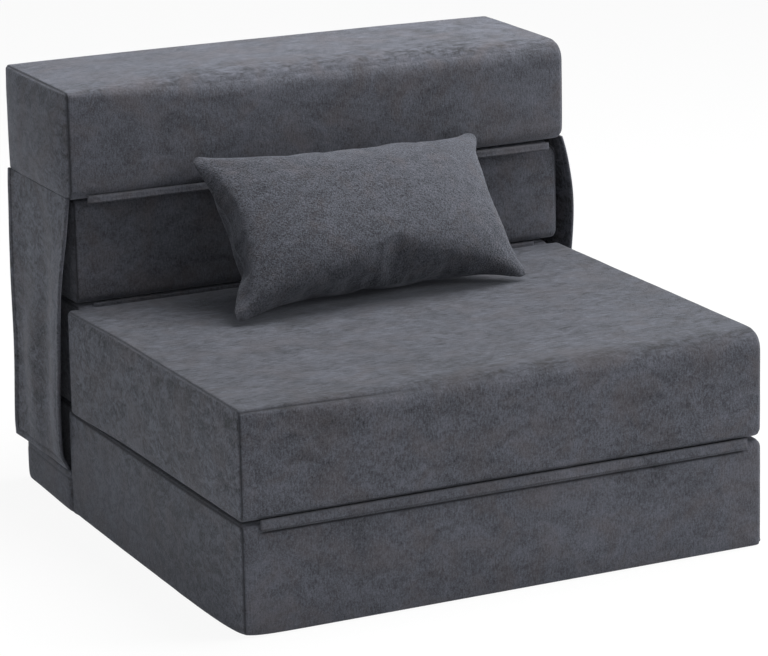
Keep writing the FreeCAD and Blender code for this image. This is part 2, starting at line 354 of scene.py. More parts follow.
def zip_tape(name, colour):
    """Dense ribbed ribbon."""
    s = Shader(name)
    rib = s.node("ShaderNodeTexWave", {"wave_type": "BANDS", "bands_direction": "X"}, {
        "Vector": s.place("object", (1, 1, 1)), "Scale": 320.0, "Distortion": 0.4,
        "Detail": 2.0}).value("Fac")
    speck = s.noise("object", (700, 700, 1400), 2, 0.5)
    shade = s.mix(rib * 0.6 + speck * 0.4, tinted(colour, 0.6), tinted(colour, 1.7))
    return s.relief(shade, s.spread(speck, -1.5, 1.0), rib * 0.7 + speck * 0.3, 0.3 * mm,
                    others={"Specular IOR Level": 0.35})


def zip_metal(name, colour):
    """Dark nickel with fine scratches and worn edges."""
    s = Shader(name)
    scratch = s.noise("object", (300, 2600, 2600), 3, 0.6)
    wear = s.spread(s.noise("object", (260, 260, 260), 3, 0.6), 0.42, 0.7)
    shade = s.mix(wear * 0.6, colour, tinted(colour, 1.8))
    return s.relief(shade, s.spread(scratch, -0.35, 1.6), scratch, 0.05 * mm, 0.5, {"Metallic": 1.0})


def fastening_tape(name, colour, hooks):
    """Hook tape with rows of small hooks, or loop tape with a soft nap."""
    s = Shader(name)
    nap = s.noise("object", (1200, 1200, 1200), 3, 0.7)
    if hooks:
        height = s.spread(s.cells((1, 620, 620), 0.15), 0.1, 0.5) * 0.8 + nap * 0.2
    else:
        height = s.spread(nap, 0.25, 0.75)
    shade = s.mix(height, tinted(colour, 1.6), tinted(colour, 0.6))
    return s.relief(shade, s.spread(nap, -2.0, 1.2), 1 - height, 0.5 * mm,
                    others={"Sheen Weight": 0.15, "Specular IOR Level": 0.3})


def grip_sheet(name, colour):
    """Close non-woven sheet with rows of raised rubber dots."""
    s = Shader(name)
    dot = s.spread(s.cells((125, 125, 1), 0.0), 0.34, 0.26)
    felt = s.noise("object", (800, 800, 800), 3, 0.7)
    shade = s.mix(felt, tinted(colour, 0.7), tinted(colour, 1.5))
    shade = s.mix(dot, shade, tinted(colour, 0.45))
    return s.relief(shade, 0.92 - dot * 0.4, dot * 0.8 + felt * 0.2, 0.6 * mm,
                    others={"Specular IOR Level": 0.35})


def open_foam(name):
    """Pale foam with small open cells."""
    s = Shader(name)
    tone = s.spread(s.cells((620, 620, 620)), 0.1, 0.8)
    shade = s.mix(tone, (0.72, 0.66, 0.50), (0.84, 0.80, 0.68))
    return s.relief(shade, 0.95, tone, 0.8 * mm)


def stuffing(name):
    """Loose white fibre filling."""
    s = Shader(name)
    tuft = s.noise("object", (90, 90, 90), 5, 0.7, 1.2)
    shade = s.mix(tuft, (0.62, 0.62, 0.60), (0.88, 0.88, 0.86))
    return s.relief(shade, 0.95, tuft, 2 * mm)


finishes = {}


def finish_of(kind):
    """The finish of a kind, made once."""
    if kind not in finishes:
        colours = bpy.context.scene.chair_bed_colours
        cloth, warm = colours.cloth[:], colours.cloth_warm[:]
        makers = {
            "cover": lambda: brushed_cloth("brushed_cloth", cloth, warm, (62, 190)),
            # The seat's finish darkens its top by the nap, which is painted shade
            "seat": lambda: brushed_cloth("seat_cloth", cloth, warm, (62, 190), 1.14, 0.60),
            # Painted highlights: the flap's cloth is a lighter copy with bigger, stronger streak
            # patches that stand in for the light on its folds
            "flap": lambda: brushed_cloth("flap_cloth", tinted(cloth, 1.06), warm, (30, 90), 1.12),
            "strip": lambda: brushed_cloth("strip_cloth", tinted(cloth, 0.96), warm, (60, 190)),
            "pillow": lambda: woven_pillow("pillow_cloth", colours.pillow[:], warm),
            "tape": lambda: zip_tape("zip_tape", colours.tape[:]),
            "metal": lambda: zip_metal("zip_metal", colours.metal[:]),
            "hooks": lambda: fastening_tape("hook_tape", colours.tape[:], True),
            "loops": lambda: fastening_tape("loop_tape", colours.tape[:], False),
            "grip": lambda: grip_sheet("grip_sheet", colours.sole[:]),
            "foam": lambda: open_foam("open_foam"),
            "filling": lambda: stuffing("fibre_filling"),
        }
        finishes[kind] = makers[kind]()
    return finishes[kind]


def dress(piece, kind):
    """Give a new piece its finish."""
    piece.data.materials.clear()
    piece.data.materials.append(finish_of(kind))


def dress_node(node, kind):
    """Give a carried-over CAD node a better finish."""
    for material_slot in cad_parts[node].material_slots:
        material_slot.material = finish_of(kind)


# Modelling helpers

def start_clean():
    """Leave edit mode and select nothing."""
    if bpy.context.object and bpy.context.object.mode != "OBJECT":
        bpy.ops.object.mode_set(mode="OBJECT")
    bpy.ops.object.select_all(action="DESELECT")


def pick(piece):
    """Select this piece alone and make it the active one."""
    start_clean()
    bpy.context.view_layer.objects.active = piece
    piece.select_set(True)


def rename(piece, name):
    """Name a piece and its mesh."""
    piece.name = name
    piece.data.name = name


def settle():
    """Put the place, turn and scale of the active piece into its mesh."""
    bpy.ops.object.transform_apply(location=True, rotation=True, scale=True)
    return bpy.context.object


def new_cube(name, low, high):
    """A cube between two corners, with its place in its mesh."""
    start_clean()
    low, high = Vector(low), Vector(high)
    bpy.ops.mesh.primitive_cube_add(size=1, location=(low + high) / 2, scale=high - low)
    rename(bpy.context.object, name)
    return settle()


def edit_all(piece, operator, **settings):
    """Run an edit mode operator on the whole of a piece."""
    pick(piece)
    bpy.ops.object.mode_set(mode="EDIT")
    bpy.ops.mesh.select_all(action="SELECT")
    operator(**settings)
    bpy.ops.object.mode_set(mode="OBJECT")


def divide(piece, cuts):
    """Cut the edges that run along each axis into equal parts."""
    bpy.ops.object.mode_set(mode="EDIT")
    bpy.ops.mesh.select_mode(type="EDGE")
    for axis, count in enumerate(cuts):
        if not count:
            continue
        bpy.ops.mesh.select_all(action="DESELECT")
        mesh = bmesh.from_edit_mesh(piece.data)
        for line in mesh.edges:
            run = line.verts[1].co - line.verts[0].co
            line.select_set(abs(run[axis]) > 0.9 * run.length)
        bmesh.update_edit_mesh(piece.data)
        bpy.ops.mesh.subdivide(number_cuts=count)
    bpy.ops.object.mode_set(mode="OBJECT")


def points_of(piece):
    """Every vertex of a piece, as rows of x, y and z."""
    points = np.zeros(len(piece.data.vertices) * 3)
    piece.data.vertices.foreach_get("co", points)
    return points.reshape(-1, 3)


def move_points(piece, points):
    """Put every vertex of a piece in a new place."""
    piece.data.vertices.foreach_set("co", np.asarray(points, float).ravel())
    piece.data.update()


def flip(piece):
    """Turn the faces of a piece round."""
    edit_all(piece, bpy.ops.mesh.flip_normals)


def apply_all(piece):
    """Apply the modifiers of a piece."""
    pick(piece)
    for modifier in list(piece.modifiers):
        bpy.ops.object.modifier_apply(modifier=modifier.name)


def bevel(piece, width):
    """Take the edges off a hard piece."""
    edges = piece.modifiers.new("edges", "BEVEL")
    edges.width = width
    edges.segments = 2
    apply_all(piece)


def smooth(piece):
    """Round the piece off with subdivision and shade it smooth."""
    rounding = piece.modifiers.new("rounding", "SUBSURF")
    rounding.levels = 1
    rounding.render_levels = 1
    apply_all(piece)
    bpy.ops.object.shade_smooth()


def smooth_by_angle(piece, degrees):
    """Shade a hard piece smooth, apart from its sharp edges."""
    pick(piece)
    bpy.ops.object.shade_smooth_by_angle(angle=math.radians(degrees))


def ramp(value, low, high):
    """0 below low, 1 above high and a smooth rise between."""
    share = np.clip((value - low) / (high - low), 0, 1)
    return share * share * (3 - 2 * share)


def hill(distance, width):
    """1 at distance 0, falling off over the width."""
    return np.exp(-(distance / width) ** 2)


def rumple(points, scale, seed=0.0):
    """Smooth noise from -1 to 1 at each point."""
    shift = Vector((seed, 1.7 * seed, 2.3 * seed))
    return np.array([noise.noise(Vector(point * scale) + shift) for point in points])


def set_painted_seam_shade(piece, values):
    """Store how deep in a seam, crease or groove each vertex lies, as the mask for the finish's painted
    shade.
    """
    attribute = piece.data.attributes.new("seam", "FLOAT", "POINT")
    attribute.data.foreach_set("value", np.clip(values, 0, 1).astype(np.float32))


def set_cloth_map(piece, places):
    """Lay the cloth's grain on the faces: places is one pair for each face corner."""
    layer = piece.data.uv_layers.new(name="cloth")
    layer.data.foreach_set("uv", np.asarray(places, float).ravel())


def corner_vertices(piece):
    """Vertex index of each face corner, and the face it belongs to."""
    count = len(piece.data.loops)
    vertices = np.zeros(count, int)
    piece.data.loops.foreach_get("vertex_index", vertices)
    sizes = np.zeros(len(piece.data.polygons), int)
    piece.data.polygons.foreach_get("loop_total", sizes)
    return vertices, np.repeat(np.arange(len(sizes)), sizes)


def face_normals(piece):
    """Outward direction of every face."""
    normals = np.zeros(len(piece.data.polygons) * 3)
    piece.data.polygons.foreach_get("normal", normals)
    return normals.reshape(-1, 3)


# Block covers

end_steps = np.array([0.0, 1.2, 2.6, 4.6, 8.0, 13.0, 20.0, 30.0]) * mm
cover_pitch = 13 * mm
channel_marks = np.array([-13.0, -9.6, -8.4, -7.6, -3.5, 3.5, 7.6, 8.4, 9.6, 13.0]) * mm
channel_ends = np.array([257.0, 258.6, 260.4, 263.0]) * mm
channel_reach = 259 * mm
channel_half = 8 * mm
channel_depth = 5.3 * mm
lip_reach = 262 * mm
lip_place = 8.4 * mm
full_roll_from = -120 * mm
front_reach = 95 * mm
rear_reach = 190 * mm
worn_reach = 16 * mm
seam_stop = 12 * mm
seam_shadow = 1.25 * mm
valley_width = 1.6 * mm
pucker_place = 11 * mm
pucker_width = 9 * mm
pucker_height = 0.7 * mm
pressed_reach = 356 * mm
pressed_below = 5.4 * mm
pressed_depth = 2.4 * mm
pressed_width = 1.3 * mm
crease_width = 1.8 * mm
crease_square = 40 * mm
crease_fade = (-240 * mm, -60 * mm)
on_edge = 1e-6


def stations(half, marks=()):
    """Places of the cuts from -half to half: close together at the ends and at the marks."""
    inner = half - end_steps[-1]
    count = max(2, round(2 * inner / cover_pitch))
    even = np.linspace(-inner, inner, count + 1)
    kept = [place for place in even if all(abs(place - mark) > 3.4 * mm for mark in marks)]
    ends = half - end_steps[:-1]
    return np.array(sorted([*kept, *ends, *-ends, *marks]))


def along_side(place, half, low_round, high_round):
    """Where a point of one side of the outline goes, how far it drops, and its surface's turn."""
    low_arc = low_round * diagonal
    high_arc = high_round * diagonal
    flat = 2 * half - low_round - high_round
    length = low_arc + flat + high_arc
    run = (place + half) / (2 * half) * length
    turn = np.where(run < low_arc, run / low_arc - 1, 0.0)
    turn = np.where(run > low_arc + flat, (run - low_arc - flat) / high_arc, turn) * diagonal
    radius = np.where(turn < 0, low_round, high_round)
    straight = np.clip(run - low_arc, 0, flat) - half + low_round
    return straight + radius * np.sin(turn), radius * (1 - np.cos(turn)), turn


def outline_at(b, c, half_y, half_z, rounds):
    """Place and outward direction of the outline's point for a point on the square's edge."""
    front_low, rear_low, rear_high, front_high = rounds
    spots = np.array([b, c])
    halves = (half_y, half_z)
    places = np.zeros(spots.shape)
    normals = np.zeros(spots.shape)
    at_y = half_y - np.abs(b) <= half_z - np.abs(c)
    sides = ((0, -1, at_y, front_low, front_high), (0, 1, at_y, rear_low, rear_high),
             (1, -1, ~at_y, front_low, rear_low), (1, 1, ~at_y, front_high, rear_high))
    for axis, sign, near, low, high in sides:
        other = 1 - axis
        chosen = near & (np.where(spots[axis] < 0, -1, 1) == sign)
        place, drop, turn = along_side(spots[other, chosen], halves[other], low[chosen], high[chosen])
        places[axis, chosen] = sign * (halves[axis] - drop)
        places[other, chosen] = place
        normals[axis, chosen] = sign * np.cos(turn)
        normals[other, chosen] = np.sin(turn)
    return *places, *normals


def lay_grain(piece, a, b, c, half_y, half_z, shift):
    """Run the cloth's grain round the band in one length, and upright on the side panels."""
    vertices, faces = corner_vertices(piece)
    side = face_normals(piece)[faces]
    u, v, w = a[vertices], b[vertices], c[vertices]
    around = np.where(side[:, 2] > 0.5, half_z + (v + half_y), w)
    around = np.where(side[:, 1] > 0.5, 3 * half_z + 2 * half_y - (w + half_z), around)
    around = np.where(side[:, 2] < -0.5, -half_z - (v + half_y), around)
    on_panel = np.abs(side[:, 0]) > 0.5
    grain_x = np.where(on_panel, v + 5 * side[:, 0], u)
    grain_y = np.where(on_panel, w, around)
    set_cloth_map(piece, np.stack([grain_x, grain_y + shift], axis=1))


def block_cover(block, sizes):
    """One block's cover: a band round it and a sewn-in panel at each side, with a zip channel."""
    full = fullness[block.name]
    inset_by = sizes.edge_inset
    half_x = block.half - inset_by
    half_y = (block.rear - block.front) / 2 - inset_by
    bottom = 0.2 * mm if block.rests else block.bottom + inset_by
    half_z = (block.top - inset_by - bottom) / 2
    middle_y = (block.front + block.rear) / 2
    middle_z = bottom + half_z
    channel_z = (block.bottom + block.top) / 2 - middle_z
    x_places = stations(half_x, [*-channel_ends, *channel_ends])
    y_places = stations(half_y)
    z_marks = channel_marks + channel_z
    is_base = block.name == "base"
    if is_base:
        strip_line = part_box("front_hinge_strip")[0].z - pressed_below - middle_z
        z_marks = np.concatenate([z_marks, strip_line + np.array([-1.6, -0.7, 0.0, 0.8]) * mm])
    z_places = stations(half_z, z_marks)
    piece = new_cube(block.name + "_cloth", (-1, -1, -1), (1, 1, 1))
    divide(piece, (len(x_places) - 2, len(y_places) - 2, len(z_places) - 2))
    cube = points_of(piece)
    a, b, c = (
        places[np.rint((cube[:, axis] + 1) / 2 * (len(places) - 1)).astype(int)]
        for axis, places in enumerate((x_places, y_places, z_places)))

    lay_grain(piece, a, b, c, half_y, half_z, block.bottom * 7)

    # Band and panels meet in a rounded seam
    on_side = np.abs(a) > half_x - on_edge
    inset = np.where(on_side, np.minimum(half_y - np.abs(b), half_z - np.abs(c)), 0)
    inset = np.maximum(inset, 0)
    ring_b = b * half_y / np.maximum(half_y - inset, on_edge)
    ring_c = c * half_z / np.maximum(half_z - inset, on_edge)
    ring_c = np.where(half_z - inset < on_edge, half_z, ring_c)
    ring_b = np.clip(ring_b, -half_y, half_y)
    ring_c = np.clip(ring_c, -half_z, half_z)
    soft_part = ramp(a, -half_x, full_roll_from)
    over = np.minimum(block.roll_over, left_roll) * (1 - soft_part) + block.roll_over * soft_part
    rear = np.full(len(a), min(block.roll_under, rear_round))
    rounds = (np.full(len(a), block.roll_under), rear, rear, over)
    y, z, normal_y, normal_z = outline_at(ring_b, ring_c, half_y, half_z, rounds)
    from_seam = half_x - np.abs(a)
    radius = np.where(a > 0, sizes.right_round, sizes.panel_round)
    swing = np.where(inset > 0, -np.minimum(inset / radius, diagonal),
                     np.minimum(from_seam / radius, diagonal)) + diagonal
    past = np.where(inset > 0, np.maximum(inset - radius * diagonal, 0), 0)
    run_in = np.where(inset > 0, 0, np.maximum(from_seam - radius * diagonal, 0))
    x = half_x - radius + radius * np.cos(swing) - run_in
    lift = radius * np.sin(swing) - radius
    reach = np.maximum(inset, from_seam)
    pucker = rumple(np.stack([a * 0.3, b, c], axis=1), 46.0, block.bottom + 3)
    valley = sizes.seam_depth * hill(reach, valley_width) * (1 + 0.35 * pucker)
    seam_runs = (b < half_y - seam_stop) | (not is_base)
    valley = valley * seam_runs
    beside = pucker_height * hill(reach - pucker_place, pucker_width) * pucker
    x = x - (valley + beside * (inset > 0)) * math.sqrt(0.5)
    lift = lift - (valley + beside * (inset == 0)) * math.sqrt(0.5)
    share = past / (half_z - radius * diagonal)
    y = (y + normal_y * lift) * (1 - share) + ring_b * (half_y - half_z) / half_y * share
    z = (z + normal_z * lift) * (1 - share)

    # Faces crown a little, and their cloth is never quite flat
    arch_x = 1 - np.abs(a / half_x) ** 4
    arch_y = 1 - np.abs(b / half_y) ** 4
    arch_z = 1 - np.abs(c / half_z) ** 4
    at_y = half_y - np.abs(b) < on_edge
    arch = np.where(on_side, arch_y * arch_z, np.where(at_y, arch_x * arch_z, arch_x * arch_y))
    flat_under = block.rests & (c < -half_z + on_edge) & ~on_side
    swell = np.where(on_side, np.where(a < 0, full.left, full.right),
                     np.where(at_y | (c < 0), inset_by, full.rise))
    where = np.stack([np.sign(a) * x, y + middle_y, z + middle_z], axis=1)
    waves = 0.62 * rumple(where, 8.5, block.top + 1) + 0.38 * rumple(where, 21.0, block.top + 5)
    dent = sizes.wrinkle * (0.5 + 0.5 * waves) * np.where(flat_under, 0.0, 1.0)
    push = swell * arch * ~flat_under - dent * np.minimum(1, 0.35 + arch)
    x = x + push * on_side
    y = y + normal_y * push * ~on_side
    z = z + normal_z * push * ~on_side

    # The foot of the chair spreads under the load
    foot = full.spread * (0.25 + 0.75 * (1 - c / half_z) / 2) * np.maximum(arch_y, 0.12)
    foot = foot * (0.55 - 0.45 * b / half_y)
    x = x + foot * x / half_x
    y = y - 0.3 * foot * (0.5 - b / half_y / 2) * arch_x

    # Edges that stand out past the foam, a top that rises to the left, and a worn lower corner
    share_x = x / half_x
    high_z = (c / half_z + 1) / 2
    at_front = ramp(b, -half_y + front_reach, -half_y)
    to_rear = ramp(b, half_y - rear_reach, half_y)
    x = x + full.front_right * share_x * (a > 0) * at_front * (1 - ramp(high_z, 0.86, 1.0))
    x = x + full.rear_left * share_x * (a < 0) * to_rear
    z = z - full.slope * a / half_x * high_z
    if is_base:
        to_corner = np.hypot(a + half_x, b + half_y)
        z = z + worn_corner * np.exp(-to_corner / worn_reach) * (1 - ramp(high_z, 0.0, 0.45))

    # The base is pressed in under its strip, and a crease runs in from a left-hand front corner;
    # painted shade goes along the seams, into the groove under the strip and into the crease
    # Painted shade along the seams between band and panels
    seam_shade = hill(reach, seam_shadow) * seam_runs
    if is_base:
        under_strip = (np.abs(a) < pressed_reach) & (b < -half_y + 1 * mm)
        pressed = hill(c - strip_line, pressed_width) * under_strip
        y = y + pressed_depth * pressed
        # Painted shade in the groove under the strip
        seam_shade = np.maximum(seam_shade, pressed)
    if full.crease:
        from_edge = np.where(at_y, half_z - c, half_y + b)
        near_front = (b < -half_y + crease_square) & (c > half_z - crease_square) & ~on_side
        crease = hill(from_edge, crease_width) * (1 - ramp(a, *crease_fade)) * near_front
        y = y - normal_y * full.crease * crease
        z = z - normal_z * full.crease * crease
        # Painted shade in the crease
        seam_shade = np.maximum(seam_shade, 0.8 * crease)

    # The zip's channel, along the middle of the rear
    at_rear = b > half_y - on_edge
    from_zip = np.abs(c - channel_z)
    deep = (np.abs(a) < channel_reach) & (from_zip < channel_half) & at_rear
    y = np.where(deep, half_y + inset_by - channel_depth, y)
    lips = (np.abs(a) < lip_reach) & at_rear & ~deep
    y = y - 0.8 * mm * hill(from_zip - lip_place, 0.9 * mm) * lips
    shaped = np.stack([np.where(a < 0, -x, x), y + middle_y, z + middle_z], axis=1)
    move_points(piece, shaped)
    set_painted_seam_shade(piece, seam_shade)
    smooth(piece)
    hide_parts(block.name + "_cover", block.name + "_foam")
    dress(piece, "seat" if block.name == "seat" else "cover")
    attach(piece, body_with(block.name))


class MESH_OT_chair_bed_covers(bpy.types.Operator):
    """Sew the covers of the six foam blocks"""

    bl_idname = "mesh.chair_bed_covers"
    bl_label = "Block Covers"

    def execute(self, context):
        for name in block_names:
            block_cover(block_of(name), context.scene.chair_bed_sizes)
        return {"FINISHED"}


# Thin cloth

def thin_cloth(name, cuts_along, cuts_across):
    """A flat cube, cut along X and Z, whose two sides become the two sides of a cloth."""
    piece = new_cube(name, (-1, -1, -1), (1, 1, 1))
    divide(piece, (cuts_along - 1, 0, cuts_across - 1))
    cube = points_of(piece)
    return piece, (cube[:, 0] + 1) / 2, cube[:, 1] > 0, (cube[:, 2] + 1) / 2


def even_map(piece, along, across, width, height, offset=0.0):
    """Lay the grain over a thin cloth, as it was cut."""
    vertices, _ = corner_vertices(piece)
    places = np.stack([along * width + offset, across * height], axis=1)
    set_cloth_map(piece, places[vertices])


def unevenly(share, places):
    """Move evenly cut shares to the given places."""
    return np.interp(share, np.linspace(0, 1, len(places)), places)


strip_joints = {
    "front_hinge_strip": ("base", "seat"),
    "rear_hinge_strip": ("rear_base", "middle"),
    "middle_hinge_strip": ("middle", "lower_back"),
    "top_hinge_strip": ("lower_back", "upper_back"),
}

# How far a strip stands out past its CAD node, reaches below and above it, and tilts, in mm
StripFit = namedtuple("StripFit", "out below above tilt")
strip_fits = {node: StripFit(*(value * mm for value in values)) for node, values in {
    "front_hinge_strip": (5.6, 4.2, 0.2, 0),
    "rear_hinge_strip": (3, 0, 0, 0),
    "middle_hinge_strip": (0.4, 2.2, -2.6, 0),
    "top_hinge_strip": (3, 0, 0, 0),
    "front_cover_strip": (3.2, 6.6, -6.6, 4),
}.items()}
strip_cuts = (96, 10)


def groove_strip(node, outward, seed):
    """A doubled strip of cloth in the groove between two blocks, with rolled edges."""
    low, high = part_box(node)
    fit = strip_fits[node]
    low.z -= fit.below
    high.z += fit.above
    height = high.z - low.z
    piece, share_x, outer_side, share_z = thin_cloth(node + "_cloth", *strip_cuts)
    length = high.x - low.x
    edges = np.array([0.0, 1.0, 3.0, 8.0]) * mm / length
    inner = np.linspace(edges[-1], 1 - edges[-1], strip_cuts[0] - 5)
    x_places = np.concatenate([edges[:-1], inner, 1 - edges[:-1][::-1]])
    rows = np.array([0.0, 0.07, 0.16, 0.3, 0.42, 0.5, 0.58, 0.7, 0.84, 0.93, 1.0])
    along = unevenly(share_x, x_places)
    across = unevenly(share_z, rows)
    even_map(piece, along, across, length, height, seed)
    x = low.x + along * length
    z = low.z + across * height - fit.tilt * x / high.x
    middle = (low.y + high.y) / 2 + outward * fit.out
    thickness = high.y - low.y
    ends = np.minimum(along, 1 - along) * length
    plump = (1 - (2 * across - 1) ** 4) * ramp(ends, -2 * mm, 5 * mm)
    ripple = rumple(np.stack([x, x * 0, z], axis=1), 24.0, seed)
    half = thickness * (0.30 + 0.62 * plump)
    y = middle + outward * (np.where(outer_side == (outward > 0), half, -half * 0.6))
    lifted = ramp(across, 0.45, 0.0) * ramp(ends, 0, 9 * mm)
    y = y + outward * (0.7 * mm * plump + 0.35 * mm * ripple + 1.3 * mm * lifted)
    z = z + 0.5 * mm * rumple(np.stack([x, x * 0, x * 0], axis=1), 16.0, seed + 4)
    move_points(piece, np.stack([x, y, z], axis=1))
    # Painted shade along both edges of the strip
    set_painted_seam_shade(piece, hill(np.minimum(across * 0.8, 1 - across), 0.08))
    smooth(piece)
    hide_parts(node)
    dress(piece, "strip")
    return piece


class MESH_OT_chair_bed_strips(bpy.types.Operator):
    """Sew the hinge strips between the blocks and the strip under the upper back"""

    bl_idname = "mesh.chair_bed_strips"
    bl_label = "Hinge Strips"

    def execute(self, context):
        for index, (node, (lower, upper)) in enumerate(strip_joints.items()):
            at_rear = node in ("rear_hinge_strip", "top_hinge_strip")
            piece = groove_strip(node, 1 if at_rear else -1, 11.0 * (index + 1))
            body_with(lower)
            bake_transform(piece)
        cover = groove_strip("front_cover_strip", -1, 71.0)
        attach(cover, "upper_back")
        return {"FINISHED"}


# Flaps

flap_rows = 46
flap_columns = 40
hem_width = 11 * mm
flap_above = 5.5 * mm
flap_out_left = 12 * mm
flap_out_right = 7 * mm
flap_billow = 12 * mm
flap_kick = 8 * mm
fold_depth = 3.8 * mm
wave_depth = 4.4 * mm
hem_extra = 1.5 * mm
stitch_depth = 1.1 * mm
rim_width = 1.2 * mm
tape_clearance = 0.9 * mm


def flap_edges(share):
    """Front and rear edge of a flap at a share of its height."""
    low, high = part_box("side_flap_right")
    front = low.y + 42 * mm * (1 - share) ** 1.5
    rear = high.y - 19 * mm * (1 - (1 - share) ** 2) - 40 * mm * share * (1 - share) ** 2
    return front, rear


def side_flap(side, word, sizes):
    """A hanging flap of doubled cloth with a hem all round and soft upright folds."""
    low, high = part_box("side_flap_right")
    name = "flap_" + word
    piece, share_y, outer_side, share_z = thin_cloth(name + "_cloth", flap_columns, flap_rows)
    hem_cuts = np.array([0, 0.004, 0.012, 0.03, 0.046, 0.052, 0.058, 0.066, 0.085])
    inner = np.linspace(0.11, 0.89, flap_columns + 1 - 2 * len(hem_cuts))
    along = unevenly(share_y, np.concatenate([hem_cuts, inner, 1 - hem_cuts[::-1]]))
    foot_cuts = [0, 0.003, 0.008, 0.016, 0.026, 0.030, 0.034, 0.040, 0.05]
    top_cuts = [0.975, 0.99, 0.996, 1.0]
    inner = np.linspace(0.07, 0.95, flap_rows + 1 - len(foot_cuts) - len(top_cuts))
    up = unevenly(share_z, np.concatenate([foot_cuts, inner, top_cuts]))
    even_map(piece, up, along, high.z - low.z, high.y - low.y, 3.0 + side)
    front, rear = flap_edges(up)
    width = rear - front
    from_front = along * width
    from_bottom = up * (high.z - low.z)
    y = front + from_front
    z = low.z + up * (high.z + flap_above - low.z)

    # The hem is thicker, and its stitches are drawn in
    to_edge = np.minimum(np.minimum(from_front, (1 - along) * width), from_bottom)
    in_hem = 1 - ramp(to_edge, hem_width - 0.6 * mm, hem_width + 0.6 * mm)
    stitch = hill(to_edge - (hem_width - 1.8 * mm), 0.7 * mm)
    half = sizes.flap_thickness / 2 * np.minimum(1, 0.35 + to_edge / rim_width)
    half = half + in_hem * hem_extra * np.minimum(1, to_edge / rim_width) - stitch * stitch_depth

    # It hangs in soft folds, bellies out in the middle and billows at the top right
    belly = 4 * up * (1 - up)
    folds = np.sin(along * 2 * math.pi * 2.1 + 0.8 + 0.5 * up) * 0.6
    folds = folds + np.sin(along * 13.0 - up * 2.0) * 0.4
    wave = rumple(np.stack([y * 0.7, z * 0.35, y * 0 + side], axis=1), 22.0, 9.0 + side)
    edge_wave = rumple(np.stack([z, z * 0, z * 0 + side], axis=1), 13.0, 5.0)
    fading = np.exp(-from_front / (110 * mm))
    out = flap_out_left if side < 0 else flap_out_right
    off_foot = ramp(from_bottom, 0, 25 * mm)
    shift = 2 * mm * belly + (out * belly + flap_kick * (1 - up) ** 2 * off_foot) * fading
    swing = shift + (fold_depth * folds + wave_depth * wave) * (0.15 + 0.85 * belly)
    upper = up ** 2.2
    billow = (flap_billow if side > 0 else 0) * 4 * upper * (1 - upper)
    swing = swing + billow * fading + 1.0 * mm * ramp(up, 0.85, 0.97)
    y = y + 2.0 * mm * edge_wave * hill(from_front, 35 * mm) * belly
    base_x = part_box("hook_tape_right")[1].x + tape_clearance + sizes.flap_thickness / 2
    x = base_x + swing + np.where(outer_side, half, -half)
    move_points(piece, np.stack([x * side, y, z], axis=1))
    if side > 0:
        flip(piece)
    # Painted shade along the stitches and the inner edge of the hem
    set_painted_seam_shade(piece, 0.8 * stitch + 0.5 * hill(to_edge - hem_width, 0.8 * mm))
    smooth(piece)
    front, rear = flap_edges(np.linspace(0, 1, 41))
    mean_width = float(np.mean(rear - front))
    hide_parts("side_flap_" + word, "flap_hem_" + word)
    dress(piece, "flap")
    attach(piece, name)


class MESH_OT_chair_bed_flaps(bpy.types.Operator):
    """Hang the two side flaps and finish their fastening tapes"""

    bl_idname = "mesh.chair_bed_flaps"
    bl_label = "Side Flaps"

    def execute(self, context):
        sizes = context.scene.chair_bed_sizes
        side_flap(1, "right", sizes)
        side_flap(-1, "left", sizes)
        for side in ("left", "right"):
            dress_node("hook_tape_" + side, "hooks")
            dress_node("loop_tape_" + side, "loops")
        return {"FINISHED"}


# Pocket

pocket_cuts = (96, 14)
pocket_corner = 16.5 * mm
pocket_slack = 0.3 * mm
pocket_bulge = 1.6 * mm
pocket_stitch = 0.83


def rolled(share, width):
    """How far a cloth's edge has rolled in: 1 on the edge, 0 past the width."""
    return 1 - np.sqrt(np.clip(1 - (np.clip(share, 0, width) / width - 1) ** 2, 0, 1))


